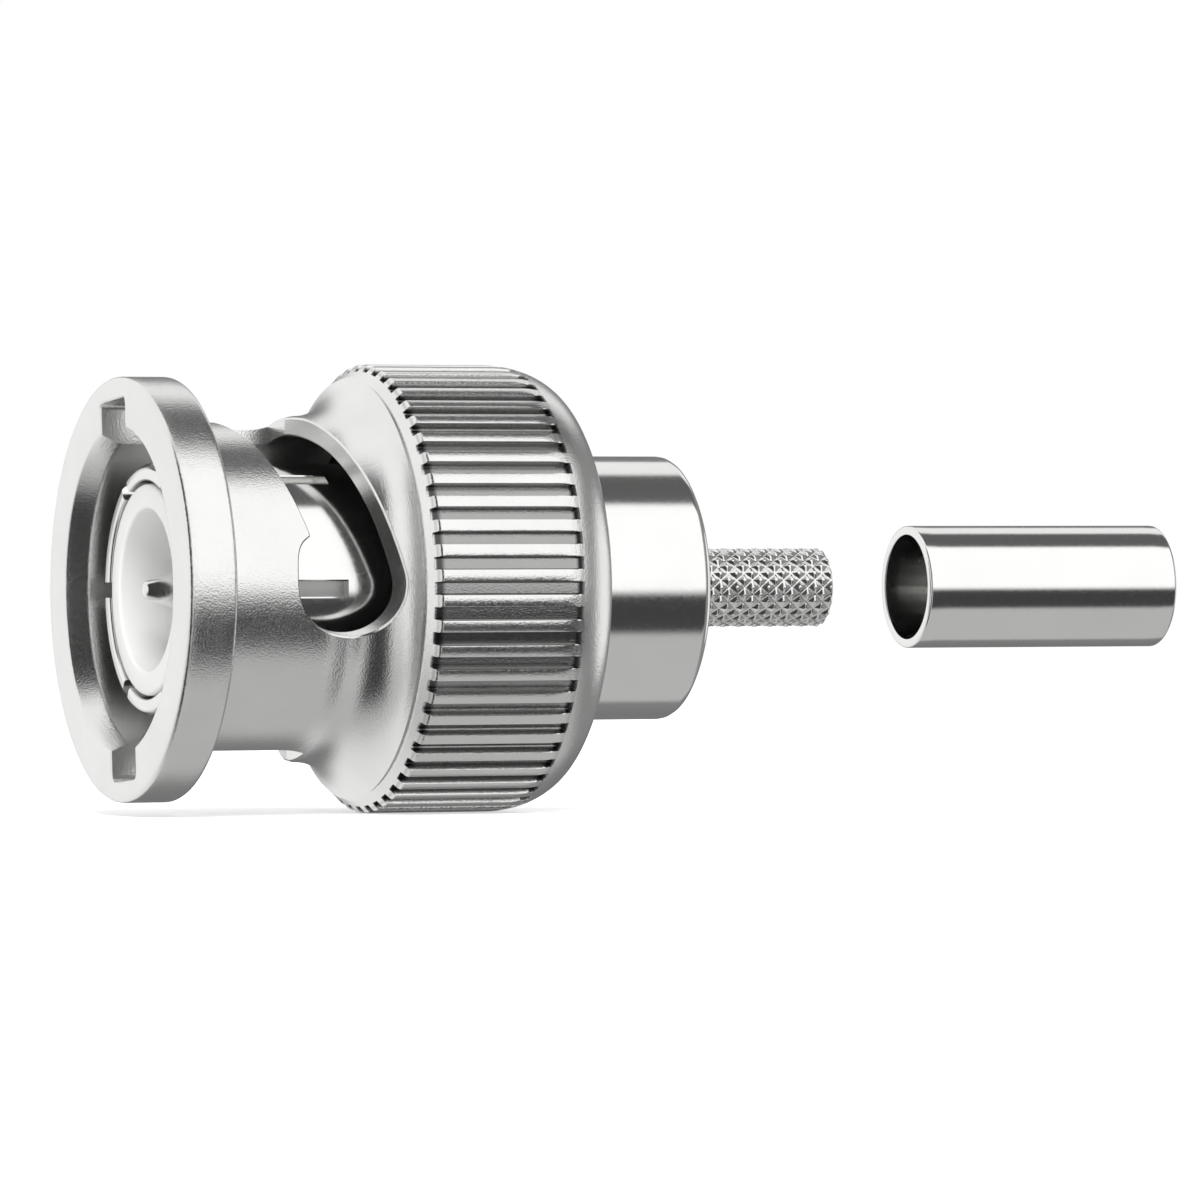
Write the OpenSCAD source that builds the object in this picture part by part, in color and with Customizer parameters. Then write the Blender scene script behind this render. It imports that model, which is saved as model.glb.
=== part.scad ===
// Bayonet-lock coaxial cable plug with its separate crimp ferrule, in millimetres.
// The plug lies along X: its mating face is at x = 0 and the cable leaves toward +X.
// Clock angles go round the X axis: 0 faces -Y, 90 is up and 180 faces +Y.

/* [Coupling nut] */
// Wall of the collar outside the corners of the keyways
collar_wall = 0.6; // [0.4:0.02:0.9]
// Width of the collar along the axis
collar_w = 1.65; // [1.3:0.05:2]
// Wall of the neck that holds the bayonet slots
neck_wall = 0.45; // [0.35:0.05:0.7]
// Extra diameter of the neck where the flare starts
neck_swell = 0.36; // [0:0.02:0.5]
// Length of the hollow flare between the neck and the grip
flare_len = 1.85; // [1.6:0.05:2.3]
// Diameter of the ribbed grip over its ribs
grip_d = 14.5; // [14.2:0.05:15.5]
// Width of the bevel in front of the ribs
grip_bevel = 0.35; // [0.2:0.05:0.5]
// Length of the ribs
rib_len = 5.05; // [4.6:0.05:6.5]
// Radius of the rounded rear edge of the nut
rear_round = 1.25; // [0.8:0.05:1.3]
// Thickness of the lip that closes the nut at the rear
lip_t = 1.3; // [1:0.05:1.4]
// Diameter of the hollow that holds the spring washers
spring_bore_d = 11.8; // [11.4:0.05:12.2]
// Radius of the softened edges of the collar
edge_r = 0.15; // [0.05:0.01:0.25]

/* [Ribs] */
// Number of ribs round the grip, an even number
rib_count = 56; // [44:2:64]
// Share of each pitch taken by the groove between two ribs
groove_share = 0.5; // [0.35:0.05:0.6]
// Depth of the grooves between the ribs
groove_depth = 0.3; // [0.15:0.05:0.4]

/* [Bayonet] */
// Diameter of the bore that slides over the mating jack
jack_bore_d = 9.9; // [9.8:0.02:10.1]
// Bevel at the mouth of the bore
mouth_bevel = 0.3; // [0.1:0.05:0.5]
// Clock angle of the first entry keyway
key_clock = 94.5; // [80:0.5:110]
// Width of the entry keyways
key_w = 2.4; // [2.1:0.05:2.8]
// Depth of the keyways into the collar, from the bore
key_depth = 1.15; // [1:0.05:1.3]
// Distance from the mating face to the centre of the lug seats
seat_x = 5.77; // [5.5:0.01:6]
// Diameter of the lug seats
seat_d = 3.3; // [3:0.05:3.4]
// Turn of the slot from the keyway to the lug seat, in degrees
slot_turn = 94.5; // [85:0.5:100]
// Rise of the slot's rear edge for each degree of turn
rear_rise = 0.0206; // [0.018:0.0002:0.022]
// Rise of the slot's front edge for each degree of turn
front_rise = 0.0187; // [0.017:0.0001:0.02]
// Clock angle from the seat to the crest that holds the lug
crest_turn = 12.5; // [10:0.5:15]
// Width left for the lug between the crest and the rear edge
crest_gap = 2.6; // [2.3:0.05:2.75]

/* [Body] */
// Diameter of the body behind the nut
body_d = 8.6; // [8.2:0.05:9]
// Length of the body that shows behind the nut
body_out = 4.3; // [3:0.05:6]
// Radius of the body's rear edge
body_edge = 0.3; // [0.1:0.05:0.5]
// Thickness of the flange that the springs push on
flange_t = 0.9; // [0.7:0.05:1.1]
// Diameter of the hollow behind the contacts
hollow_d = 5.2; // [4:0.05:5.6]
// Length of the hollow behind the contacts
hollow_len = 4; // [2:0.1:5]

/* [Crimp stem] */
// Diameter of the crimp stem over its knurl
stem_d = 2.58; // [2.4:0.02:2.8]
// Length of the crimp stem
stem_len = 5.65; // [5:0.05:7]
// Diameter of the bore for the cable's dielectric
cable_bore_d = 1.6; // [1.5:0.02:1.8]
// Number of knurl diamonds round the stem
knurl_count = 16; // [12:1:20]
// Depth of the knurl
knurl_depth = 0.09; // [0.04:0.01:0.12]
// Length of one knurl diamond
knurl_pitch = 0.56; // [0.4:0.02:0.8]

/* [Contacts] */
// Diameter of the outer contact over its fingers
outer_d = 8.1; // [8:0.02:8.3]
// Wall of the fingers of the outer contact
finger_wall = 0.55; // [0.4:0.05:0.6]
// Setback of the fingers from the mating face
finger_setback = 0.9; // [0.5:0.05:1.5]
// Number of slits between the fingers
slit_count = 6; // [4:1:8]
// Width of the slits
slit_w = 0.5; // [0.3:0.05:0.7]
// Length of the slits
slit_len = 5.47; // [4:0.05:6]
// Diameter of the shank pressed into the body
shank_d = 7.2; // [6.8:0.05:7.4]
// Length of the shank pressed into the body
shank_len = 2.6; // [2:0.1:3]
// Diameter of the centre pin
pin_d = 1.35; // [1.3:0.01:1.4]
// Setback of the pin's tip from the mating face
pin_setback = 0.87; // [0.5:0.01:1.5]
// Diameter of the pin where the front insulator holds it
root_d = 1.72; // [1.7:0.02:1.9]
// Diameter of the pin's solder barrel
barrel_d = 2.2; // [2:0.05:2.4]
// Length of the pin's solder barrel
barrel_len = 4.6; // [3.8:0.1:5]
// Diameter of the hole for the cable's centre wire
wire_d = 0.6; // [0.5:0.05:0.9]

/* [Insulators] */
// Setback of the front insulator from the mating face
insulator_setback = 0.95; // [0.6:0.05:1.6]
// Diameter of the recess round the pin
recess_d = 5.2; // [4.9:0.05:5.5]
// Depth of the recess round the pin
recess_len = 5.2; // [4.5:0.05:5.6]
// Diameter of the rear insulator
bush_d = 6; // [5.4:0.05:6.2]

/* [Seal and washers] */
// Thickness of the rubber gasket
gasket_t = 0.6; // [0.4:0.05:0.8]
// Depth of the step that the gasket sits on
gasket_seat = 0.25; // [0.2:0.01:0.3]
// Thickness of the flat washer between the springs
flat_t = 0.25; // [0.2:0.01:0.3]
// Thickness of the thrust washer behind the springs
thrust_t = 0.5; // [0.4:0.05:0.6]
// Thickness of the metal of a wave washer
wave_t = 0.2; // [0.15:0.01:0.25]
// Number of waves round a wave washer
wave_count = 3; // [2:1:4]

/* [Ferrule] */
// Outside diameter of the ferrule
ferrule_d = 4.05; // [4:0.05:4.5]
// Bore of the ferrule
ferrule_bore_d = 3.45; // [3.3:0.05:3.6]
// Length of the ferrule
ferrule_len = 9; // [7:0.1:11]
// Gap between the crimp stem and the ferrule as laid out
ferrule_gap = 3.1; // [1:0.1:6]
// Bevel on the ferrule's outer edges
ferrule_bevel = 0.12; // [0.05:0.01:0.2]

/* [Fits] */
// Radial clearance of the nut on the body
nut_clear = 0.08; // [0.04:0.01:0.1]
// Radial clearance of pieces that are pressed together
press_clear = 0.02; // [0.01:0.005:0.03]
// Radial clearance of the washers
washer_clear = 0.1; // [0.05:0.01:0.15]
// Gap between pieces stacked along the axis
stack_clear = 0.04; // [0.02:0.01:0.06]
// Radial clearance of the gasket
gasket_clear = 0.05; // [0.03:0.01:0.08]
// Radial gap between the fingers and the insulator
finger_clear = 0.1; // [0.05:0.01:0.15]

/* [Hidden] */
$fn = 96;

eps = 0.01;
cut = 1;
arc_steps = 10;

// Stations along the axis
flare_setback = 0.23;
flare_x = seat_x + flare_setback;
rim_x = flare_x + flare_len;
rib_x = rim_x + grip_bevel;
rib_end_x = rib_x + rib_len;
nut_len = rib_end_x + lip_t;
lip_x = rib_end_x;
rim_share = 0.9;
shoulder_setback = 1.65;
rib_land = 0.08;
key_relief = 0.08;
shoulder_x = rib_x + shoulder_setback;
flange_x = shoulder_x + stack_clear;
flange_end_x = flange_x + flange_t;
shank_end_x = flange_x + shank_len;
body_end_x = nut_len + body_out;
hollow_end_x = shank_end_x + hollow_len;
stem_end_x = body_end_x + stem_len;
ferrule_x = stem_end_x + ferrule_gap;

// Radii
jack_bore_r = jack_bore_d / 2;
key_reach = jack_bore_r + key_depth;
collar_r = norm([key_reach, key_w / 2]) + collar_wall;
neck_r = jack_bore_r + neck_wall;
flare_r = neck_r + neck_swell / 2;
grip_r = grip_d / 2;
rim_r = grip_r - grip_bevel * rim_share;
spring_bore_r = spring_bore_d / 2;
body_r = body_d / 2;
lip_bore_r = body_r + nut_clear;
outer_r = outer_d / 2;
finger_bore_r = outer_r - finger_wall;
insulator_r = finger_bore_r - finger_clear;
socket_r = insulator_r + press_clear;
shank_r = shank_d / 2;
bush_r = bush_d / 2;
pin_r = pin_d / 2;
root_r = root_d / 2;
barrel_r = barrel_d / 2;
stem_r = stem_d / 2;
stem_root_r = stem_r - knurl_depth;

// The spring stack shares what is left between the flange and the lip
wave_h = (lip_x - flange_end_x - flat_t - thrust_t - 5 * stack_clear) / 2;
front_wave_x = flange_end_x + stack_clear;
flat_x = front_wave_x + wave_h + stack_clear;
rear_wave_x = flat_x + flat_t + stack_clear;
thrust_x = rear_wave_x + wave_h + stack_clear;
washer_in_r = body_r + washer_clear;
washer_out_r = spring_bore_r - washer_clear;

// The insulators and the pin behind the fingers
recess_x = insulator_setback + recess_len;
socket_end_x = flange_x - gasket_t - stack_clear;
barrel_x = socket_end_x + stack_clear;
bush_len = shank_end_x - socket_end_x - 2 * stack_clear;

// Bayonet slot: its edges are stations for a turn away from the lug seat, in degrees
seat_r = seat_d / 2;
deg_len = neck_r * PI / 180;
seat_turn = seat_r / deg_len;
rear_slope = atan(rear_rise / deg_len);
tangent_turn = seat_r * sin(rear_slope) / deg_len;
tangent_x = seat_x + seat_r * cos(rear_slope);
seat_columns = 16;
band_columns = 36;
function rear_line(turn) = tangent_x - rear_rise * (turn - tangent_turn);
function front_line(turn) = rear_line(crest_turn) - crest_gap - front_rise * (turn - crest_turn);
function seat_half(turn) = sqrt(max(0, seat_r * seat_r - pow(turn * deg_len, 2)));
function rear_edge(turn) = turn < tangent_turn ? seat_x + seat_half(turn) : rear_line(turn);
function front_edge(turn) = turn < 0
    ? seat_x - seat_half(turn)
    : min(seat_x - seat_half(turn), front_line(turn));

// Turns a piece that was drawn along Z so that it lies along X
module along_x() {
    rotate([0, 90, 0]) children();
}

// Angle about the drawing's own axis for a clock angle
function local(clock) = -90 - clock;

// Points on an arc about [radius, station]
function arc(centre, r, from, to) = [
    for (i = [0:arc_steps])
        let (a = from + (to - from) * i / arc_steps)
            [centre[0] + r * cos(a), centre[1] + r * sin(a)]
];

// A ring or disc turned from a profile of [radius, station] points
module turned(profile) {
    along_x() rotate_extrude() polygon(profile);
}

// A plain tube between two stations
module tube(out_r, in_r, from, to) {
    turned([[in_r, from], [out_r, from], [out_r, to], [in_r, to]]);
}

// ---- Coupling nut ----

// Radius of the hollow flare, from the neck to the rim
flare_rise = rim_r - flare_r;
flare_arc_r = (flare_rise * flare_rise + flare_len * flare_len) / (2 * flare_rise);
flare_arc_end = asin(flare_len / flare_arc_r);

module nut_blank() {
    turned(concat(
        [[jack_bore_r, mouth_bevel], [jack_bore_r + mouth_bevel, 0]],
        arc([collar_r - edge_r, edge_r], edge_r, -90, 0),
        arc([collar_r - edge_r, collar_w - edge_r], edge_r, 0, 90),
        [[neck_r, collar_w], [neck_r, flare_x - 3 * flare_setback]],
        arc([flare_r + flare_arc_r, flare_x], flare_arc_r, 180, 180 - flare_arc_end),
        [[grip_r, rib_x], [grip_r, nut_len - rear_round]],
        arc([grip_r - rear_round, nut_len - rear_round], rear_round, 0, 90),
        [[lip_bore_r, nut_len], [lip_bore_r, lip_x], [spring_bore_r, lip_x]],
        [[spring_bore_r, shoulder_x], [jack_bore_r, shoulder_x]]
    ));
}

// The straight grooves that leave the ribs standing
module rib_grooves() {
    pitch = 360 / rib_count;
    groove_w = 2 * PI * grip_r / rib_count * groove_share;
    from = rib_x + rib_land;
    to = min(rib_end_x, nut_len - rear_round) - rib_land;
    for (i = [0:rib_count - 1])
        along_x() rotate(i * pitch)
            translate([grip_r - groove_depth, -groove_w / 2, from])
                cube([groove_depth + cut, groove_w, to - from]);
}

// The round lug seat and the helical slot that leads round to the keyway, cut through the wall
module slot_band() {
    in_r = jack_bore_r - cut;
    out_r = grip_r + cut;
    first_angle = 90 / seat_columns;
    crest_angle = acos(-crest_turn / seat_turn);
    turns = concat(
        [
            for (i = [0:seat_columns - 1])
                -seat_turn * cos(first_angle + (crest_angle - first_angle) * i / seat_columns)
        ],
        [for (i = [0:band_columns]) crest_turn + (slot_turn - crest_turn) * i / band_columns]
    );
    columns = len(turns);
    points = [
        for (t = turns, corner = [
            [in_r, front_edge(t)], [in_r, rear_edge(t)], [out_r, rear_edge(t)], [out_r, front_edge(t)]
        ])
            [corner[0] * cos(-t), corner[0] * sin(-t), corner[1]]
    ];
    last = 4 * (columns - 1);
    sides = [
        for (i = [0:columns - 2], k = [0:3])
            let (here = 4 * i, next = 4 * i + 4, after = (k + 1) % 4)
                for (half = [[here + k, here + after, next + after], [here + k, next + after, next + k]])
                    half
    ];
    polyhedron(points, concat([[3, 2, 1, 0]], sides, [[last, last + 1, last + 2, last + 3]]));
}

// One bayonet slot: the seat and its band, and the straight keyway from the mating face
module bayonet_slot(seat_clock) {
    key_end_x = rear_edge(slot_turn) + key_relief;
    key_floor_r = jack_bore_r - cut / 2;
    along_x() rotate(local(seat_clock)) {
        slot_band();
        rotate(-slot_turn)
            translate([key_floor_r, -key_w / 2, -cut])
                cube([key_reach - key_floor_r, key_w, key_end_x + cut]);
    }
}

module coupling_nut() {
    color([0.72, 0.72, 0.7])
        difference() {
            nut_blank();
            rib_grooves();
            for (half = [0, 180])
                bayonet_slot(key_clock - slot_turn + half);
        }
}

// ---- Body and crimp stem ----

// A rod covered in knurl diamonds: each is a low pyramid whose corners lie in the grooves
module knurled_rod(from, to) {
    rows = 2 * round((to - from) / knurl_pitch);
    columns = 2 * knurl_count;
    function is_peak(i, j) = (i + j) % 2 == 0;
    function at(i, j) = i * columns + (j + columns) % columns;
    points = [
        for (i = [0:rows], j = [0:columns - 1])
            let (r = is_peak(i, j) && i > 0 && i < rows ? stem_r : stem_root_r, a = 360 * j / columns)
                [r * cos(a), r * sin(a), from + (to - from) * i / rows]
    ];
    faces = [
        for (i = [0:rows], j = [0:columns - 1])
            if (is_peak(i, j))
                for (side = [-1, 1], toward = [-1, 1])
                    if (i + toward >= 0 && i + toward <= rows)
                        side * toward > 0
                            ? [at(i, j), at(i, j + side), at(i + toward, j)]
                            : [at(i, j), at(i + toward, j), at(i, j + side)]
    ];
    caps = [
        [for (j = [0:columns - 1]) at(0, j)],
        [for (j = [columns - 1:-1:0]) at(rows, j)]
    ];
    along_x() polyhedron(points, concat(faces, caps));
}

module body_blank() {
    hollow_r = hollow_d / 2;
    cable_r = cable_bore_d / 2;
    core_r = stem_root_r - knurl_depth;
    shank_bore_r = shank_r + press_clear;
    turned(concat(
        [[shank_bore_r, flange_x], [washer_out_r, flange_x], [washer_out_r, flange_end_x]],
        [[body_r, flange_end_x]],
        arc([body_r - body_edge, body_end_x - body_edge], body_edge, 0, 90),
        [[core_r, body_end_x], [core_r, stem_end_x], [cable_r, stem_end_x], [cable_r, hollow_end_x]],
        [[hollow_r, hollow_end_x], [hollow_r, shank_end_x], [shank_bore_r, shank_end_x]]
    ));
}

module rear_body() {
    seated_x = body_end_x - body_edge;
    knurl_end_x = stem_end_x - knurl_depth;
    color([0.78, 0.78, 0.76])
        difference() {
            union() {
                body_blank();
                knurled_rod(seated_x, knurl_end_x);
            }
            along_x() translate([0, 0, hollow_end_x + eps])
                cylinder(d = cable_bore_d, h = stem_end_x - hollow_end_x + cut);
        }
}

// ---- Contacts ----

module outer_contact() {
    lead = finger_wall * 0.35;
    color([0.85, 0.85, 0.83])
        difference() {
            turned([
                [finger_bore_r, finger_setback], [outer_r - lead, finger_setback],
                [outer_r, finger_setback + lead], [outer_r, socket_end_x],
                [outer_r - gasket_seat, socket_end_x], [outer_r - gasket_seat, flange_x], [shank_r, flange_x],
                [shank_r, shank_end_x], [bush_r + press_clear, shank_end_x],
                [bush_r + press_clear, socket_end_x], [socket_r, socket_end_x],
                [socket_r, finger_setback + slit_len + finger_wall],
                [finger_bore_r, finger_setback + slit_len + finger_wall]
            ]);
            for (i = [0:slit_count - 1])
                along_x() rotate(local(i * 360 / slit_count))
                    translate([insulator_r - cut, -slit_w / 2, finger_setback - cut])
                        cube([outer_r, slit_w, slit_len + cut]);
        }
}

module centre_pin() {
    tip_len = 1.1;
    tip_r = 0.18;
    barrel_end_x = barrel_x + barrel_len;
    wire_depth = barrel_len * 0.8;
    color([0.82, 0.81, 0.78])
        turned([
            [0, pin_setback], [tip_r, pin_setback], [pin_r, pin_setback + tip_len], [pin_r, recess_x],
            [root_r, recess_x], [root_r, barrel_x], [barrel_r, barrel_x], [barrel_r, barrel_end_x], [wire_d / 2, barrel_end_x],
            [wire_d / 2, barrel_end_x - wire_depth], [0, barrel_end_x - wire_depth]
        ]);
}

// ---- Insulators and gasket ----

module front_insulator() {
    hole_r = root_r + press_clear;
    color([0.95, 0.95, 0.93])
        turned([
            [recess_d / 2, insulator_setback], [insulator_r, insulator_setback],
            [insulator_r, socket_end_x], [hole_r, socket_end_x], [hole_r, recess_x], [recess_d / 2, recess_x]
        ]);
}

module rear_insulator() {
    color([0.93, 0.93, 0.91])
        tube(bush_r, barrel_r + press_clear, barrel_x, barrel_x + bush_len);
}

module gasket() {
    color([0.75, 0.3, 0.22])
        tube(jack_bore_r - gasket_clear, outer_r - gasket_seat + gasket_clear, flange_x - gasket_t, flange_x);
}

// ---- Washers ----

// A wave washer that fills its height: the metal rises and falls round the ring
module wave_washer(from) {
    steps = 24 * wave_count;
    swing = (wave_h - wave_t) / 2;
    points = [
        for (i = [0:steps - 1], corner = [
            [washer_in_r, 0], [washer_out_r, 0], [washer_out_r, wave_t], [washer_in_r, wave_t]
        ])
            let (a = 360 * i / steps)
                [corner[0] * cos(a), corner[0] * sin(a), from + swing * (1 + cos(wave_count * a)) + corner[1]]
    ];
    sides = [
        for (i = [0:steps - 1], k = [0:3])
            let (here = 4 * i, next = 4 * ((i + 1) % steps), after = (k + 1) % 4)
                for (half = [[here + k, next + k, next + after], [here + k, next + after, here + after]])
                    half
    ];
    along_x() polyhedron(points, sides);
}

module front_wave_washer() {
    color([0.6, 0.6, 0.58]) wave_washer(front_wave_x);
}

module rear_wave_washer() {
    color([0.6, 0.6, 0.58]) wave_washer(rear_wave_x);
}

module flat_washer() {
    color([0.65, 0.65, 0.62]) tube(washer_out_r, washer_in_r, flat_x, flat_x + flat_t);
}

module thrust_washer() {
    color([0.65, 0.65, 0.62]) tube(washer_out_r, washer_in_r, thrust_x, thrust_x + thrust_t);
}

// ---- Ferrule ----

module crimp_ferrule() {
    out_r = ferrule_d / 2;
    in_r = ferrule_bore_d / 2;
    end_x = ferrule_x + ferrule_len;
    color([0.8, 0.8, 0.78])
        turned([
            [in_r, ferrule_x], [out_r - ferrule_bevel, ferrule_x], [out_r, ferrule_x + ferrule_bevel],
            [out_r, end_x - ferrule_bevel], [out_r - ferrule_bevel, end_x], [in_r, end_x]
        ]);
}

coupling_nut();
rear_body();
outer_contact();
front_insulator();
rear_insulator();
centre_pin();
gasket();
front_wave_washer();
flat_washer();
rear_wave_washer();
thrust_washer();
crimp_ferrule();
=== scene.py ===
"""Looks of a bayonet-lock coaxial cable plug and its loose crimp ferrule.

The plug lies along X with its mating face at x = 0. Sizes below are in millimetres
and are turned into metres where a mesh is made. A clock angle goes round X: 0 faces
-Y, 90 is up and 180 faces +Y.
"""
import math

import bmesh
import bpy
import numpy as np
from mathutils import Matrix, Vector


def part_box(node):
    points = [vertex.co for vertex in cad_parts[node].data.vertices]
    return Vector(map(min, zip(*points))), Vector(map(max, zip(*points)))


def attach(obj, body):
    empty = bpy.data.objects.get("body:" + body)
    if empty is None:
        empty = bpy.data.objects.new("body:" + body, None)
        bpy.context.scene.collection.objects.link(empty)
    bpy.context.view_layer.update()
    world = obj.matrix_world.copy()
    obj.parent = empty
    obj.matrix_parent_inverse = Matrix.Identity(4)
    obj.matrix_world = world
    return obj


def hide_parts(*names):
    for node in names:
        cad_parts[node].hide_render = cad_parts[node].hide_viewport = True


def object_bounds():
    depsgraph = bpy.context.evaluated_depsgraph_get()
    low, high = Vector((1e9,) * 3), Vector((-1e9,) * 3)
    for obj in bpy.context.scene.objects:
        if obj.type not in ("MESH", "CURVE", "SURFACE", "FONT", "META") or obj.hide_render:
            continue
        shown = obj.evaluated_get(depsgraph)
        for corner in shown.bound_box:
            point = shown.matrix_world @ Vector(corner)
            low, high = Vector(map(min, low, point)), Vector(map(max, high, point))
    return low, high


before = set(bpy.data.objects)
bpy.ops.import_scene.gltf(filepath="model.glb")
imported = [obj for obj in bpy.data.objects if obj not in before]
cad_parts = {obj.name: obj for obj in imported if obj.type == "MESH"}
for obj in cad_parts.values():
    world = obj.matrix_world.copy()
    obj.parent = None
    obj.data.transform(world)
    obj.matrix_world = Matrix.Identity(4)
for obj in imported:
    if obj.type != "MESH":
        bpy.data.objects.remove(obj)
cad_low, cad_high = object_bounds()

MM = 0.001
SHARP_ANGLE = math.radians(32)

# ---- Sizes shared by several pieces, in millimetres ----

NUT_LOW, NUT_HIGH = (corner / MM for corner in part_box("coupling_nut"))
GRIP_R = NUT_HIGH.z
NUT_LEN = NUT_HIGH.x
BODY_LOW, BODY_HIGH = (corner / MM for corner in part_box("rear_body"))
STEM_END = BODY_HIGH.x
FERRULE_LOW, FERRULE_HIGH = (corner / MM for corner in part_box("crimp_ferrule"))
CONTACT_LOW, CONTACT_HIGH = (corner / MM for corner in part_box("outer_contact"))
INSULATOR_LOW, INSULATOR_HIGH = (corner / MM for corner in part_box("front_insulator"))
PIN_LOW, PIN_HIGH = (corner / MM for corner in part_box("centre_pin"))

# Coupling nut
BORE_R = 4.95
NECK_R = 5.4
HIP_R = 5.58
COLLAR_R = 6.817
COLLAR_W = 1.65
MOUTH_LEN = 0.7
MOUTH_RISE = 0.3
FLARE_X = 6.0
RIM_X = 7.85
RIM_R = 6.8
RIB_X = 8.35
RIM_GROOVE = 0.13
LIP_X = 13.25
LIP_BORE_R = 4.38
CAVITY_R = 5.9
CAVITY_X = 9.85
REAR_X = 12.45
REAR_R = 6.05
RIB_COUNT = 56
GROOVE_DEPTH = 0.3
GROOVE_SHARE = 0.5

# Bayonet
KEY_CLOCK = 94.5
KEY_W = 2.4
KEY_REACH = 6.1
SEAT_X = 5.85
SEAT_R = 1.65
SLOT_TURN = 93
REAR_RISE = 0.0206
FRONT_RISE = 0.026
CREST_TURN = 16.5
CREST_GAP = 2.5
CREST_ROUND = 0.25
EDGE_BREAK = 0.05

# Body and stem
BODY_R = 4.3
BODY_END = 18.85
BODY_EDGE = 0.3
FLANGE_R = BODY_HIGH.z
FLANGE_X = 9.89
FLANGE_END = 10.79
SHANK_BORE_R = 3.62
SHANK_END = 12.49
HOLLOW_R = 2.6
HOLLOW_END = 16.49
STEM_R = 1.29
CABLE_R = 0.8
KNURL_COUNT = 16
KNURL_DEPTH = 0.09
KNURL_PITCH = 0.56


# ---- Mesh helpers ----


def on_clock(x, r, clock):
    """Points at station x, radius r and a clock angle in degrees, in metres."""
    a = np.radians(clock)
    return np.stack([x * np.ones_like(a * r), -r * np.cos(a), r * np.sin(a)], -1) * MM


def make_object(name, verts, faces, smooth=True):
    """A mesh object with outward normals and creases where it turns sharply."""
    mesh = bpy.data.meshes.new(name)
    mesh.from_pydata([tuple(v) for v in verts], [], faces)
    work = bmesh.new()
    work.from_mesh(mesh)
    bmesh.ops.remove_doubles(work, verts=work.verts, dist=1e-8)
    bmesh.ops.recalc_face_normals(work, faces=work.faces)
    work.to_mesh(mesh)
    work.free()
    piece = bpy.data.objects.new(name, mesh)
    bpy.context.scene.collection.objects.link(piece)
    if smooth:
        shade(piece)
    return piece


def shade(piece):
    """Smooth shading with sharp edges kept."""
    piece.data.shade_smooth()
    piece.data.set_sharp_from_angle(angle=SHARP_ANGLE)


def soften(corners, steps=4):
    """Rounds a closed profile. Each corner is (x, r, cut), where cut is how far its round reaches."""
    out = []
    count = len(corners)
    for i, (x, r, cut) in enumerate(corners):
        here = np.array([x, r])
        if cut <= 0:
            out.append(here)
            continue
        ends = []
        for other in (corners[i - 1], corners[(i + 1) % count]):
            toward = np.array(other[:2]) - here
            length = np.linalg.norm(toward)
            ends.append(here + toward / length * min(cut, 0.45 * length))
        for k in range(steps + 1):
            t = k / steps
            out.append((1 - t) ** 2 * ends[0] + 2 * t * (1 - t) * here + t * t * ends[1])
    return out


def arc(cx, cr, radius, start, end, steps):
    """Profile points on an arc about (cx, cr); angle 0 points along +X and 90 outward."""
    points = []
    for k in range(steps + 1):
        a = math.radians(start + (end - start) * k / steps)
        points.append((cx + radius * math.cos(a), cr + radius * math.sin(a), 0))
    return points


def divide(profile, longest, low=-1e9, high=1e9):
    """Adds points on a closed profile's long straight runs that lie between two stations."""
    out = []
    for i, here in enumerate(profile):
        here = np.array(here)
        after = np.array(profile[(i + 1) % len(profile)])
        out.append(here)
        inside = low <= min(here[0], after[0]) and max(here[0], after[0]) <= high
        parts = math.ceil(np.linalg.norm(after - here) / longest) if inside else 1
        for k in range(1, parts):
            out.append(here + (after - here) * k / parts)
    return out


def lathe(name, profile, clocks, radius=None):
    """Turns a closed profile of (x, r) points about X. radius(clock, x, r) may vary the radius."""
    profile = np.array(profile)
    clocks = np.asarray(clocks, float)
    x = profile[None, :, 0] * np.ones((len(clocks), 1))
    r = profile[None, :, 1] * np.ones((len(clocks), 1))
    c = clocks[:, None] * np.ones((1, len(profile)))
    if radius is not None:
        r = radius(c, x, r)
    verts = on_clock(x, r, c).reshape(-1, 3)
    rows, columns = len(clocks), len(profile)
    faces = []
    for i in range(rows):
        after = (i + 1) % rows
        for j in range(columns):
            k = (j + 1) % columns
            faces.append((i * columns + j, i * columns + k, after * columns + k, after * columns + j))
    return make_object(name, verts, faces)


def even_clocks(count):
    return np.arange(count) * 360.0 / count


def loft(name, rings, ladder):
    """A closed solid through rings of equal length; ladder lists the quads that close its ends."""
    count = len(rings[0])
    faces = []
    for i in range(len(rings) - 1):
        for j in range(count):
            k = (j + 1) % count
            faces.append((i * count + j, i * count + k, (i + 1) * count + k, (i + 1) * count + j))
    last = (len(rings) - 1) * count
    faces += [tuple(reversed(quad)) for quad in ladder]
    faces += [tuple(last + v for v in quad) for quad in ladder]
    return make_object(name, np.concatenate(rings), faces, smooth=False)


def carve(piece, cutters):
    """Cuts solids out of a piece and removes them."""
    for cutter in cutters:
        change = piece.modifiers.new("cut", "BOOLEAN")
        change.operation = "DIFFERENCE"
        change.solver = "EXACT"
        change.object = cutter
    graph = bpy.context.evaluated_depsgraph_get()
    result = bpy.data.meshes.new_from_object(piece.evaluated_get(graph))
    piece.modifiers.clear()
    piece.data = result
    for cutter in cutters:
        bpy.data.objects.remove(cutter)
    work = bmesh.new()
    work.from_mesh(piece.data)
    bmesh.ops.dissolve_degenerate(work, edges=work.edges, dist=1e-8)
    work.to_mesh(piece.data)
    work.free()
    shade(piece)


def dress(piece, material, body, nodes):
    """Gives a piece its material, and stands it in for CAD nodes on their body."""
    piece.data.materials.clear()
    piece.data.materials.append(material)
    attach(piece, body)
    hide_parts(*nodes)


# ---- Coupling nut ----


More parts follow.
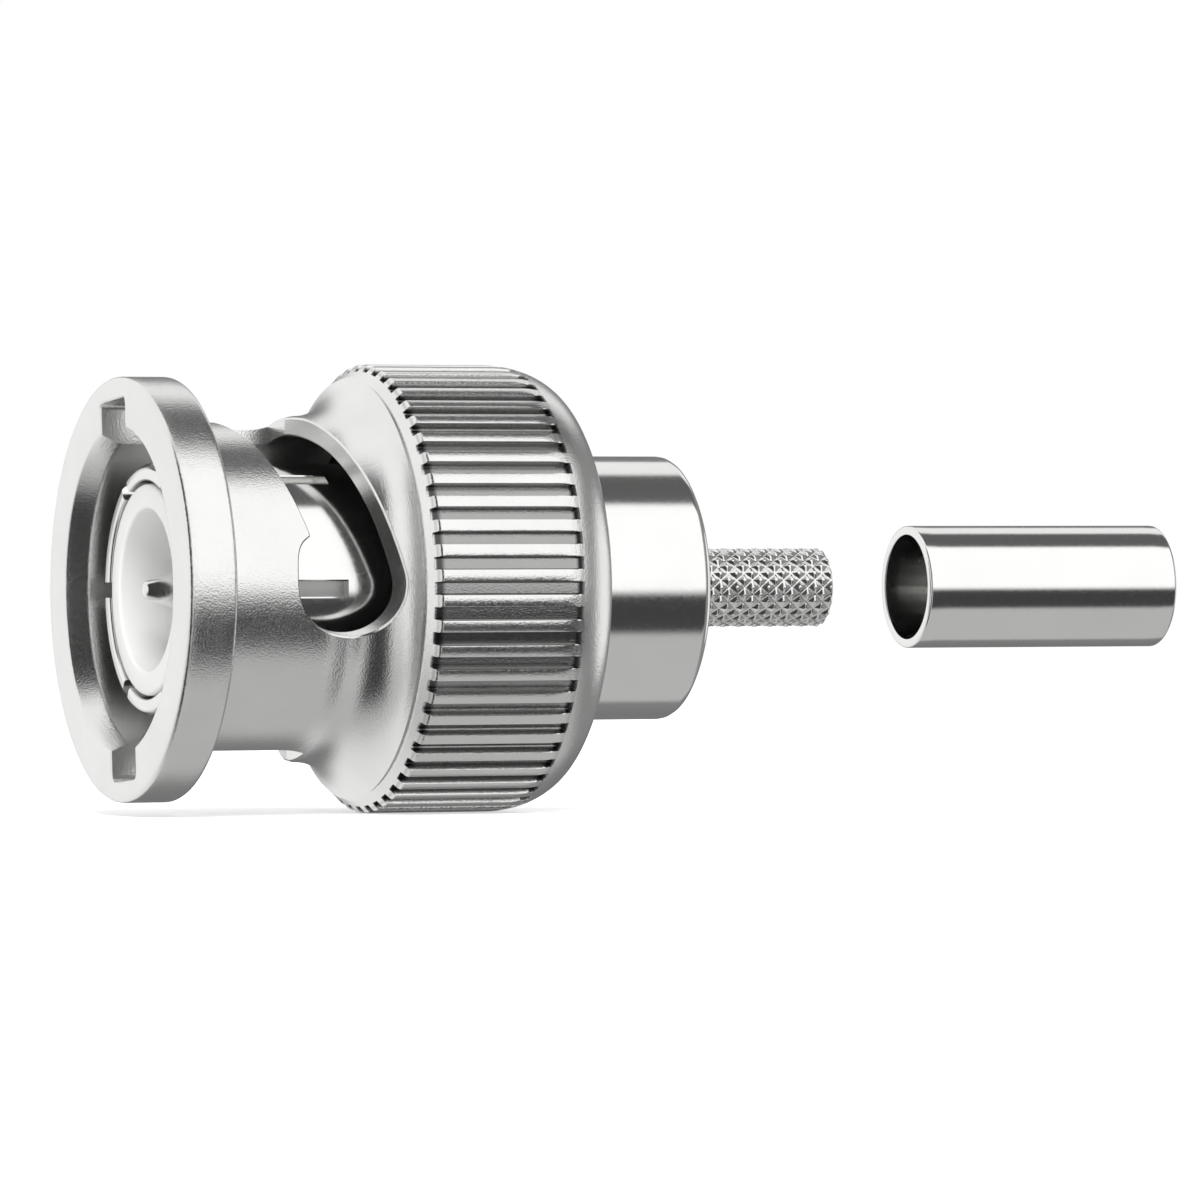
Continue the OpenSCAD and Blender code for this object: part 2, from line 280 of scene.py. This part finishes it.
def flare_points():
    """The hollow flare from the neck to the rim, an arc that starts along the axis."""
    rise, run = RIM_R - HIP_R, RIM_X - FLARE_X
    radius = (rise * rise + run * run) / (2 * rise)
    end = math.degrees(math.asin(run / radius))
    return arc(FLARE_X, HIP_R + radius, radius, -90, -90 + end, 12)


def rear_points():
    """The rear edge of the grip, rounded to a quarter of an ellipse."""
    points = []
    for k in range(17):
        a = math.pi / 2 * k / 16
        x = REAR_X + (NUT_LEN - REAR_X) * math.sin(a)
        points.append((x, REAR_R + (GRIP_R - REAR_R) * math.cos(a), 0))
    return points


def nut_profile():
    corners = [
        (MOUTH_LEN, BORE_R, 0.08),
        (0, BORE_R + MOUTH_RISE, 0.06),
        (0, COLLAR_R, 0.16),
        (COLLAR_W, COLLAR_R, 0.16),
        (COLLAR_W, NECK_R, 0.1),
        (5.3, NECK_R, 0.3),
        *flare_points(),
        (RIM_X + 0.03, RIM_R - RIM_GROOVE, 0.01),
        (RIM_X + RIM_GROOVE, RIM_R + 0.04, 0.03),
        (RIB_X, GRIP_R, 0.08),
        *[(x, GRIP_R, 0) for x in (8.5, 9.5, 10.5, 11.5)],
        *rear_points(),
        (NUT_LEN, LIP_BORE_R, 0.1),
        (LIP_X, LIP_BORE_R, 0),
        (LIP_X, CAVITY_R, 0),
        (CAVITY_X, CAVITY_R, 0),
        (CAVITY_X, BORE_R, 0),
    ]
    outline = divide(soften(corners), 0.3, -1, RIM_X)
    outline = divide(outline, 0.035, RIM_X + 0.1, RIB_X + 0.2)
    return divide(outline, 0.035, LIP_X - 0.4, LIP_X + 0.15)


def rib_clocks():
    """Columns round the grip, crowded at the walls of the grooves, with a groove at the bottom."""
    pitch = 360 / RIB_COUNT
    wall = pitch * GROOVE_SHARE / 2
    half = [0.8, wall - 0.28, wall - 0.06, wall + 0.02, wall + 0.16, wall + 0.45]
    offsets = [0] + half + [pitch / 2] + [pitch - a for a in reversed(half)]
    return np.array([270 + pitch * i + a for i in range(RIB_COUNT) for a in offsets])


def rib_radius(clock, x, r):
    """Sinks the grooves between the ribs; they run out on the bevel and end short of the rear."""
    pitch = 360 / RIB_COUNT
    wall = pitch * GROOVE_SHARE / 2
    off = np.abs((clock - 270 + pitch / 2) % pitch - pitch / 2)
    crown = np.interp(
        off,
        [wall - 0.28, wall - 0.06, wall + 0.02, wall + 0.16, wall + 0.45],
        [0, 0.1, 0.8, 0.96, 1],
    )
    depth = np.interp(x, [RIM_X + 0.2, RIB_X - 0.15, LIP_X - 0.12, LIP_X], [0, 1, 1, 0])
    outside = (r > RIM_R - 0.01) & (x > RIM_X + RIM_GROOVE)
    floor = GRIP_R - GROOVE_DEPTH * depth
    sunk = np.minimum(r, floor + (GRIP_R - floor) * crown)
    return np.where(outside, sunk, r)


def surface_radius(x):
    """Outer radius of the neck, hip and flare at a station."""
    stations = [0, 5.3, FLARE_X] + [p[0] for p in flare_points()[1:]] + [RIM_X + 0.4]
    radii = [NECK_R, NECK_R, HIP_R] + [p[1] for p in flare_points()[1:]] + [RIM_R + 0.4]
    return np.interp(x, stations, radii)


def slot_outline():
    """Edges of the slot for turns away from the lug seat: arrays of turn, front and rear station."""
    degree = NECK_R * math.pi / 180
    seat_turn = SEAT_R / degree
    slope = math.atan(REAR_RISE / degree)
    tangent = SEAT_R * math.sin(slope) / degree
    tangent_x = SEAT_X + SEAT_R * math.cos(slope)
    crest_angle = math.acos(-CREST_TURN / seat_turn)
    seat = -seat_turn * np.cos(np.linspace(0.04, crest_angle, 40, endpoint=False))
    turn = np.concatenate([seat, np.linspace(CREST_TURN, SLOT_TURN, 100)])
    half = np.sqrt(np.maximum(0, SEAT_R**2 - (turn * degree) ** 2))
    square = SEAT_R * np.maximum(0, 1 - (turn / seat_turn) ** 4) ** 0.25
    rear_line = tangent_x - REAR_RISE * (turn - tangent)
    crest_x = tangent_x - REAR_RISE * (CREST_TURN - tangent) - CREST_GAP
    front_line = crest_x - FRONT_RISE * (turn - CREST_TURN)
    seat_front = SEAT_X - np.where(turn < 0, half, square)
    gap = front_line - seat_front
    blend = (gap + np.sqrt(gap**2 + CREST_ROUND**2 / 8)) / 2
    front = np.where(turn < 0, seat_front, front_line - blend)
    rear = np.where(turn < tangent, SEAT_X + half, rear_line)
    return turn, front, rear


def pushed_out(points, distance):
    """A closed outline moved outward by a distance, for outlines that run anticlockwise."""
    along = np.roll(points, -1, 0) - np.roll(points, 1, 0)
    normal = np.stack([along[:, 1], -along[:, 0]], 1)
    normal /= np.maximum(np.linalg.norm(normal, axis=1, keepdims=True), 1e-9)
    return points + normal * distance


def slot_cutter(seat_clock):
    """The helical slot with its seat; its walls open a little at both skins to break the edges."""
    turn, front, rear = slot_outline()
    degree = NECK_R * math.pi / 180
    arc_len = turn * degree
    outline = np.concatenate([np.stack([arc_len, front], 1), np.stack([arc_len, rear], 1)[::-1]])
    wide = pushed_out(outline, EDGE_BREAK)
    skin = surface_radius(outline[:, 1])
    levels = [
        (wide, BORE_R - 1.0 + 0 * skin),
        (wide, BORE_R - 0.01 + 0 * skin),
        (outline, BORE_R + EDGE_BREAK + 0 * skin),
        (outline, skin - EDGE_BREAK),
        (wide, skin + 0.01),
        (wide, GRIP_R + 1.0 + 0 * skin),
    ]
    rings = [on_clock(flat[:, 1], r, seat_clock + flat[:, 0] / degree) for flat, r in levels]
    columns = len(turn)
    count = 2 * columns
    ladder = [(i, i + 1, count - 2 - i, count - 1 - i) for i in range(columns - 1)]
    return loft("slot_cutter", rings, ladder)


def key_cutter(clock):
    """The straight keyway, its corners rounded and its mouth broken at the mating face."""
    turn, front, rear = slot_outline()
    end = rear[-1] + 0.08
    half, top, floor, corner = KEY_W / 2, KEY_REACH, BORE_R - 0.5, 0.25
    shape = [(-half, floor, 0), (half, floor, 0), (half, top, corner), (-half, top, corner)]
    section = np.array(soften(shape, 5))
    wide = pushed_out(section, EDGE_BREAK)
    a = math.radians(clock)
    out = np.array([0, -math.cos(a), math.sin(a)])
    side = np.array([0, math.sin(a), math.cos(a)])
    rings = []
    for flat, x in ((wide, -1.0), (wide, -0.001), (section, EDGE_BREAK), (section, end)):
        rings.append((np.array([x, 0, 0]) + flat[:, :1] * side + flat[:, 1:] * out) * MM)
    return loft("key_cutter", rings, [tuple(range(len(section)))])


def make_nut(material):
    nut = lathe("coupling_nut_shell", nut_profile(), rib_clocks(), rib_radius)
    for half_turn in (0, 180):
        carve(nut, [slot_cutter(KEY_CLOCK - SLOT_TURN + half_turn)])
        carve(nut, [key_cutter(KEY_CLOCK + half_turn)])
    dress(nut, material, "nut", ["coupling_nut"])


# ---- Body with its knurled stem ----


def knurl_height(clock, x):
    """0 in the grooves and 1 on the flats of a diamond knurl."""
    round_share = clock * KNURL_COUNT / 360
    along_share = x / KNURL_PITCH
    ridges = []
    for lean in (1, -1):
        share = (round_share + lean * along_share) % 1
        ridges.append(1 - np.abs(2 * share - 1))
    return np.minimum(1, 1.25 * np.minimum(*ridges))


def stem_radius(clock, x, r):
    knurled = (x > BODY_END + 0.1) & (r > STEM_R - 0.2) & (r < STEM_R + 0.01)
    fade = np.interp(x, [BODY_END + 0.12, BODY_END + 0.3, STEM_END - 0.12, STEM_END - 0.02], [0, 1, 1, 0])
    drop = KNURL_DEPTH * (1 - knurl_height(clock, x) * fade)
    return np.where(knurled, r - drop, r)


def make_body(material):
    shell = [
        (FLANGE_X, SHANK_BORE_R, 0.05),
        (FLANGE_X, FLANGE_R, 0.05),
        (FLANGE_END, FLANGE_R, 0.05),
        (FLANGE_END, BODY_R, 0.05),
        (BODY_END, BODY_R, BODY_EDGE),
        (BODY_END, STEM_R - KNURL_DEPTH, 0.06),
    ]
    rows = 180
    stem = [(BODY_END + 0.12 + (STEM_END - BODY_END - 0.2) * k / rows, STEM_R, 0) for k in range(rows + 1)]
    inside = [
        (STEM_END, STEM_R - 0.15, 0.04),
        (STEM_END, CABLE_R, 0.06),
        (HOLLOW_END, CABLE_R, 0),
        (HOLLOW_END, HOLLOW_R, 0),
        (SHANK_END, HOLLOW_R, 0),
        (SHANK_END, SHANK_BORE_R, 0),
    ]
    profile = soften(shell + stem + inside)
    body = lathe("rear_body_shell", profile, even_clocks(KNURL_COUNT * 20), stem_radius)
    dress(body, material, "plug_body", ["rear_body"])


# ---- Contacts, insulator and ferrule ----


def make_contact(material):
    outer, inner, seat = CONTACT_HIGH.z, 3.5, 3.8
    front, base, flange, end = CONTACT_LOW.x, 9.25, FLANGE_X, CONTACT_HIGH.x
    slit_end, slit_w, shank, socket, bush = 6.37, 0.5, 3.6, 3.42, 3.02
    corners = [
        (front, inner, 0.1),
        (front, outer - 0.16, 0.08),
        (front + 0.22, outer, 0.08),
        (base, outer, 0.04),
        (base, seat, 0),
        (flange, seat, 0),
        (flange, shank, 0),
        (end, shank, 0.1),
        (end, bush, 0),
        (base, bush, 0),
        (base, socket, 0),
        (slit_end + 0.55, socket, 0),
        (slit_end + 0.55, inner, 0),
    ]
    contact = lathe("outer_contact_shell", divide(soften(corners), 0.5), even_clocks(360))
    cutters = []
    for i in range(6):
        cutters.append(slit_cutter(60 * i, front - 1, slit_end, slit_w / 2, inner - 0.6, outer + 0.6))
    carve(contact, cutters)
    dress(contact, material, "plug_body", ["outer_contact"])


def slit_cutter(clock, start, end, half, low, high):
    """A straight slit whose walls open slightly at the outer skin and at the mouth."""
    skin = CONTACT_HIGH.z
    break_w = 0.07
    break_d = 0.04
    section = np.array(
        [
            (-half, low), (half, low), (half, skin - break_d), (half + break_w, skin + 0.005),
            (half + break_w, high), (-half - break_w, high), (-half - break_w, skin + 0.005),
            (-half, skin - break_d),
        ]
    )
    a = math.radians(clock)
    out = np.array([0, -math.cos(a), math.sin(a)])
    side = np.array([0, math.sin(a), math.cos(a)])
    rings = [
        (np.array([x, 0, 0]) + section[:, :1] * side + section[:, 1:] * out) * MM
        for x in (start, end)
    ]
    return loft("slit_cutter", rings, [tuple(range(len(section)))])


def make_insulator(material):
    recess_r, recess_x, hole_r = 2.6, 6.15, 0.88
    front, end, outer = INSULATOR_LOW.x, INSULATOR_HIGH.x, INSULATOR_HIGH.z
    corners = [
        (front, recess_r, 0.12),
        (front, outer, 0.15),
        (end, outer, 0.05),
        (end, hole_r, 0),
        (recess_x, hole_r, 0.03),
        (recess_x, recess_r, 0.2),
    ]
    insulator = lathe("front_insulator_shell", divide(soften(corners), 0.8), even_clocks(256))
    dress(insulator, material, "plug_body", ["front_insulator"])


def make_pin(material):
    pin_r, root_r, barrel_r, wire_r = 0.675, 0.86, PIN_HIGH.z, 0.3
    tip, recess_x, barrel_x, end = PIN_LOW.x, 6.15, 9.29, PIN_HIGH.x
    corners = [
        (tip, 0, 0),
        (tip, 0.26, 0.1),
        (tip + 1.1, pin_r, 0.15),
        (recess_x, pin_r, 0.02),
        (recess_x, root_r, 0.02),
        (barrel_x, root_r, 0),
        (barrel_x, barrel_r, 0.05),
        (end, barrel_r, 0.05),
        (end, wire_r, 0.03),
        (end - 3.6, wire_r, 0),
        (end - 3.6, 0, 0),
    ]
    pin = lathe("centre_pin_shell", divide(soften(corners), 0.6), even_clocks(128))
    dress(pin, material, "plug_body", ["centre_pin"])


def make_ferrule(material):
    inner, outer, bevel = 1.725, FERRULE_HIGH.z, 0.1
    front, end = FERRULE_LOW.x, FERRULE_HIGH.x
    corners = [
        (front, inner, 0.05),
        (front, outer, bevel),
        (end, outer, bevel),
        (end, inner, 0.05),
    ]
    ferrule = lathe("crimp_ferrule_shell", divide(soften(corners), 0.5), even_clocks(240))
    dress(ferrule, material, "ferrule", ["crimp_ferrule"])


# ---- Materials ----


def new_material(name):
    material = bpy.data.materials.new(name)
    material.use_nodes = True
    tree = material.node_tree
    return material, tree, tree.nodes["Principled BSDF"]


def noise(tree, size_mm, detail=2.0, stretch=(1, 1, 1)):
    """A noise texture whose blotches are about size_mm across, in the object's own place."""
    where = tree.nodes.new("ShaderNodeTexCoord")
    place = tree.nodes.new("ShaderNodeMapping")
    place.inputs["Scale"].default_value = stretch
    grain = tree.nodes.new("ShaderNodeTexNoise")
    grain.inputs["Scale"].default_value = 1 / (size_mm * MM)
    grain.inputs["Detail"].default_value = detail
    tree.links.new(where.outputs["Object"], place.inputs["Vector"])
    tree.links.new(place.outputs["Vector"], grain.inputs["Vector"])
    return grain.outputs["Fac"]


def ranged(tree, value, low, high):
    """Maps a noise value to a range."""
    change = tree.nodes.new("ShaderNodeMapRange")
    change.inputs["From Min"].default_value = 0.3
    change.inputs["From Max"].default_value = 0.7
    change.inputs["To Min"].default_value = low
    change.inputs["To Max"].default_value = high
    tree.links.new(value, change.inputs["Value"])
    return change.outputs["Result"]


def tint(tree, value, dark, light):
    """Blends two colours by a value."""
    mix = tree.nodes.new("ShaderNodeMix")
    mix.data_type = "RGBA"
    mix.inputs["A"].default_value = (*dark, 1)
    mix.inputs["B"].default_value = (*light, 1)
    tree.links.new(value, mix.inputs["Factor"])
    return mix.outputs["Result"]


def bump(tree, heights, shader):
    """Stacks bumps: heights lists (value, depth in mm)."""
    normal = None
    for value, depth in heights:
        node = tree.nodes.new("ShaderNodeBump")
        node.inputs["Distance"].default_value = depth * MM
        tree.links.new(value, node.inputs["Height"])
        if normal is not None:
            tree.links.new(normal, node.inputs["Normal"])
        normal = node.outputs["Normal"]
    tree.links.new(normal, shader.inputs["Normal"])


def metal(name, dark, light, rough, grain_mm, grain_depth, wave_depth):
    """Plated metal: fine grain, slow waviness and slightly uneven colour and roughness."""
    material, tree, shader = new_material(name)
    shader.inputs["Metallic"].default_value = 1
    patches = noise(tree, 2.0, 3)
    fine = noise(tree, grain_mm, 3)
    tree.links.new(tint(tree, patches, dark, light), shader.inputs["Base Color"])
    tree.links.new(ranged(tree, fine, *rough), shader.inputs["Roughness"])
    bump(tree, [(noise(tree, 1.5, 1), wave_depth), (fine, grain_depth)], shader)
    return material


def maths(tree, operation, first, second=None):
    """A maths node; first and second are sockets or plain numbers."""
    node = tree.nodes.new("ShaderNodeMath")
    node.operation = operation
    for i, value in enumerate((first, second)):
        if value is None:
            continue
        if isinstance(value, (int, float)):
            node.inputs[i].default_value = value
        else:
            tree.links.new(value, node.inputs[i])
    return node.outputs["Value"]


def eased(tree, value, low, high):
    """0 below one value and 1 above another, with a smooth step between."""
    step = tree.nodes.new("ShaderNodeMapRange")
    step.interpolation_type = "SMOOTHSTEP"
    step.inputs["From Min"].default_value = low
    step.inputs["From Max"].default_value = high
    tree.links.new(value, step.inputs["Value"])
    return step.outputs["Result"]


def paint_groove_shade(material):
    """Paints shade into the floors of the grooves between the ribs: darker there, and darkest at their ends."""
    tree = material.node_tree
    shader = tree.nodes["Principled BSDF"]
    where = tree.nodes.new("ShaderNodeTexCoord")
    split = tree.nodes.new("ShaderNodeSeparateXYZ")
    tree.links.new(where.outputs["Object"], split.inputs[0])
    across = maths(tree, "MULTIPLY", split.outputs["Y"], split.outputs["Y"])
    upward = maths(tree, "MULTIPLY", split.outputs["Z"], split.outputs["Z"])
    reach = maths(tree, "SQRT", maths(tree, "ADD", across, upward))
    sunk = eased(tree, maths(tree, "MULTIPLY", reach, -1), -(GRIP_R - 0.03) * MM, -(GRIP_R - 0.2) * MM)
    along = split.outputs["X"]
    start = eased(tree, along, (RIB_X - 0.16) * MM, (RIB_X - 0.06) * MM)
    finish = eased(tree, maths(tree, "MULTIPLY", along, -1), -(LIP_X + 0.02) * MM, -(LIP_X - 0.1) * MM)
    inside = maths(tree, "MULTIPLY", sunk, maths(tree, "MULTIPLY", start, finish))
    front_end = maths(tree, "SUBTRACT", 1, eased(tree, along, (RIB_X + 0.05) * MM, (RIB_X + 0.25) * MM))
    rear_end = eased(tree, along, (LIP_X - 0.25) * MM, (LIP_X - 0.12) * MM)
    ends = maths(tree, "MAXIMUM", front_end, rear_end)
    # painted shade: groove floors mixed toward near-black, most at the groove ends
    shade_of = maths(tree, "MULTIPLY", inside, maths(tree, "ADD", 0.55, maths(tree, "MULTIPLY", ends, 0.37)))
    old = shader.inputs["Base Color"].links[0].from_socket
    mix = tree.nodes.new("ShaderNodeMix")
    mix.data_type = "RGBA"
    mix.inputs["B"].default_value = (0.02, 0.02, 0.02, 1)
    tree.links.new(shade_of, mix.inputs["Factor"])
    tree.links.new(old, mix.inputs["A"])
    tree.links.new(mix.outputs["Result"], shader.inputs["Base Color"])


def plastic(name, dark, light, rough):
    material, tree, shader = new_material(name)
    patches = noise(tree, 1.2, 3)
    tree.links.new(tint(tree, patches, dark, light), shader.inputs["Base Color"])
    tree.links.new(ranged(tree, noise(tree, 0.3, 2), *rough), shader.inputs["Roughness"])
    shader.inputs["Subsurface Weight"].default_value = 0.15
    shader.inputs["Subsurface Radius"].default_value = (0.4 * MM, 0.4 * MM, 0.4 * MM)
    bump(tree, [(noise(tree, 0.25, 2), 0.002)], shader)
    return material


# ---- Stage ----


def plane(name, low, high, z):
    verts = [(low[0], low[1], z), (high[0], low[1], z), (high[0], high[1], z), (low[0], high[1], z)]
    return make_object(name, verts, [(0, 1, 2, 3)], smooth=False)


def white_where_seen(tree, surface):
    """Is 1 for camera, mirror and glass rays, so that the ground can be made to read as white there."""
    path = tree.nodes.new("ShaderNodeLightPath")
    seen = None
    for ray in ("Is Camera Ray", "Is Glossy Ray", "Is Transmission Ray"):
        if seen is None:
            seen = path.outputs[ray]
            continue
        either = tree.nodes.new("ShaderNodeMath")
        either.operation = "MAXIMUM"
        tree.links.new(seen, either.inputs[0])
        tree.links.new(path.outputs[ray], either.inputs[1])
        seen = either.outputs["Value"]
    return seen


def make_floor():
    floor = plane("floor", (-60, -60), (60, 60), cad_low.z)
    material, tree, shader = new_material("floor_white")
    shader.inputs["Base Color"].default_value = (0.93, 0.93, 0.93, 1)
    shader.inputs["Roughness"].default_value = 0.9
    shader.inputs["Specular IOR Level"].default_value = 0
    seen = white_where_seen(tree, shader)
    lift = tree.nodes.new("ShaderNodeMath")
    lift.operation = "MULTIPLY"
    lift.inputs[1].default_value = 0.5
    tree.links.new(seen, lift.inputs[0])
    shader.inputs["Emission Color"].default_value = (1, 1, 1, 1)
    tree.links.new(lift.outputs["Value"], shader.inputs["Emission Strength"])
    floor.data.materials.append(material)
    floor.visible_glossy = False


# Brightness of the light tent by angle round X: 0 faces -Y, 90 is overhead, -90 is underneath.
# The middle is what round surfaces mirror, the front what flat faces and the flare mirror.
TENT_MIDDLE = [
    (-180, 0.2), (-150, 0.2), (-124, 0.24), (-119, 0.52), (-44, 0.52), (-38, 0.06), (-8, 0.05),
    (-1, 1.2), (78, 1.2), (83, 0.12), (117, 0.12), (122, 0.95), (146, 0.95), (150, 0.22), (180, 0.2),
]
TENT_FRONT = [(-180, 1.0), (-120, 0.85), (-95, 0.5), (-60, 0.6), (0, 0.9), (60, 1.1), (120, 1.0), (180, 1.0)]
TENT_REACH = 0.6


def band_ramp(tree, share, bands, top):
    """A colour ramp of grey bands by angle."""
    ramp = tree.nodes.new("ShaderNodeValToRGB")
    marks = ramp.color_ramp.elements
    for i, (degrees, level) in enumerate(bands):
        mark = marks[i] if i < 2 else marks.new(1.0)
        mark.position = (degrees + 180) / 360
        mark.color = (level / top, level / top, level / top, 1)
    tree.links.new(share, ramp.inputs["Fac"])
    return ramp.outputs["Color"]


def blended(tree, factor, first, second):
    mix = tree.nodes.new("ShaderNodeMix")
    mix.data_type = "RGBA"
    tree.links.new(factor, mix.inputs["Factor"])
    tree.links.new(first, mix.inputs["A"])
    if isinstance(second, tuple):
        mix.inputs["B"].default_value = second
    else:
        tree.links.new(second, mix.inputs["B"])
    return mix.outputs["Result"]


def make_tent():
    """A light tent that only metal and glass see, like the cards and gaps round a product shot."""
    radius, count = 0.25, 96
    verts = []
    for x in (-TENT_REACH, TENT_REACH):
        for i in range(count):
            a = 2 * math.pi * i / count
            verts.append((x, -radius * math.cos(a), radius * math.sin(a)))
    faces = [(i, (i + 1) % count, count + (i + 1) % count, count + i) for i in range(count)]
    tent = make_object("light_tent", verts, faces, smooth=False)
    material = bpy.data.materials.new("tent_bands")
    material.use_nodes = True
    tree = material.node_tree
    tree.nodes.clear()
    where = tree.nodes.new("ShaderNodeTexCoord")
    split = tree.nodes.new("ShaderNodeSeparateXYZ")
    tree.links.new(where.outputs["Object"], split.inputs[0])
    along, height = split.outputs["X"], split.outputs["Z"]
    toward = maths(tree, "MULTIPLY", split.outputs["Y"], -1)
    angle = maths(tree, "ARCTAN2", height, toward)
    share = maths(tree, "ADD", maths(tree, "DIVIDE", angle, 2 * math.pi), 0.5)
    top = max(level for _, level in TENT_MIDDLE + TENT_FRONT)
    middle = band_ramp(tree, share, TENT_MIDDLE, top)
    front = band_ramp(tree, share, TENT_FRONT, top)
    colour = blended(tree, eased(tree, along, 0.0, 0.06), front, middle)
    # A dark upright gap at the front left, where the camera looks in
    gap = maths(tree, "MULTIPLY", eased(tree, along, -0.26, -0.22), eased(tree, maths(tree, "MULTIPLY", along, -1), 0.0, 0.03))
    gap = maths(tree, "MULTIPLY", gap, eased(tree, toward, 0.0, 0.08))
    colour = blended(tree, gap, colour, (0.04, 0.04, 0.04, 1))
    # The far right of the tent is dark grey
    colour = blended(tree, eased(tree, along, 0.22, 0.3), colour, (0.22, 0.22, 0.22, 1))
    glow = tree.nodes.new("ShaderNodeEmission")
    glow.inputs["Strength"].default_value = top
    tree.links.new(colour, glow.inputs["Color"])
    out = tree.nodes.new("ShaderNodeOutputMaterial")
    tree.links.new(glow.outputs["Emission"], out.inputs["Surface"])
    tent.data.materials.append(material)
    for ray in ("camera", "diffuse", "shadow", "transmission", "volume_scatter"):
        setattr(tent, f"visible_{ray}", False)


def make_world():
    """White where it is looked at or mirrored, and a plain even light for everything else."""
    world = bpy.data.worlds.new("studio")
    bpy.context.scene.world = world
    world.use_nodes = True
    tree = world.node_tree
    ground = tree.nodes["Background"]
    seen = white_where_seen(tree, ground)
    level = tree.nodes.new("ShaderNodeMapRange")
    level.inputs["To Min"].default_value = 0.55
    level.inputs["To Max"].default_value = 1.0
    tree.links.new(seen, level.inputs["Value"])
    tree.links.new(level.outputs["Result"], ground.inputs["Strength"])
    ground.inputs["Color"].default_value = (1, 1, 1, 1)


def make_lamp(name, place, target, size, power):
    lamp = bpy.data.lights.new(name, "AREA")
    lamp.shape = "DISK"
    lamp.size = size
    lamp.energy = power
    holder = bpy.data.objects.new(name, lamp)
    bpy.context.scene.collection.objects.link(holder)
    holder.location = place
    holder.rotation_euler = (Vector(target) - Vector(place)).to_track_quat("-Z", "Y").to_euler()
    holder.visible_glossy = False
    holder.visible_camera = False


def make_camera():
    """The photograph's long lens: level, and turned so that the mating face shows."""
    turn = math.radians(22.2)
    roll = math.radians(-0.25)
    forward = Vector((math.sin(turn), math.cos(turn), 0))
    right = Vector((math.cos(turn), -math.sin(turn), 0))
    up = Vector((0, 0, 1))
    distance = 291.9 * MM
    grip_middle = Vector((10.94 * MM, 0, 0))
    eye = grip_middle - forward * distance + right * 5.29 * MM - up * 0.39 * MM
    data = bpy.data.cameras.new("camera")
    data.sensor_width = 36
    data.lens = 270
    data.clip_start = 0.01
    data.clip_end = 200
    camera = bpy.data.objects.new("camera", data)
    bpy.context.scene.collection.objects.link(camera)
    facing = Matrix((right, up, -forward)).transposed()
    camera.matrix_world = Matrix.Translation(eye) @ (facing @ Matrix.Rotation(roll, 3, "Z")).to_4x4()
    bpy.context.scene.camera = camera


# ---- Build ----

satin = metal("satin_nickel_grain_painted_groove_shade", (0.76, 0.76, 0.75), (0.86, 0.86, 0.85), (0.16, 0.26), 0.06, 0.008, 0.002)
# painted shade in the grip's groove floors, added on top of the satin nickel finish
paint_groove_shade(satin)
bright = metal("bright_nickel_smooth", (0.8, 0.8, 0.79), (0.87, 0.87, 0.86), (0.1, 0.16), 0.1, 0.0004, 0.001)
silver = metal("silver_contact_smooth", (0.78, 0.78, 0.76), (0.86, 0.86, 0.84), (0.1, 0.18), 0.1, 0.0004, 0.001)
steel = metal("spring_steel_dull", (0.45, 0.45, 0.44), (0.55, 0.55, 0.54), (0.3, 0.45), 0.1, 0.002, 0.001)
brass = metal("plain_brass_dull", (0.6, 0.48, 0.26), (0.7, 0.58, 0.34), (0.28, 0.4), 0.1, 0.002, 0.001)
white = plastic("white_insulator_smooth", (0.84, 0.84, 0.83), (0.9, 0.9, 0.89), (0.3, 0.42))
rubber = plastic("grey_rubber_matt", (0.14, 0.14, 0.14), (0.18, 0.18, 0.18), (0.6, 0.75))

make_nut(satin)
make_body(bright)
make_contact(bright)
make_insulator(white)
make_pin(silver)
make_ferrule(bright)

hidden_finish = {
    "rear_insulator": white,
    "gasket": rubber,
    "front_wave_washer": steel,
    "flat_washer": steel,
    "rear_wave_washer": steel,
    "thrust_washer": brass,
}
for node, material in hidden_finish.items():
    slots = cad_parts[node].material_slots
    for entry in slots:
        entry.material = material

make_floor()
make_tent()
make_world()
middle = (cad_low + cad_high) / 2
make_lamp("key_lamp", middle + Vector((-0.12, -0.28, 0.3)), middle, 0.25, 1.6)
make_lamp("fill_lamp", middle + Vector((0.25, -0.15, 0.25)), middle, 0.25, 0.6)
make_camera()
scene = bpy.context.scene
scene.view_settings.view_transform = "Standard"
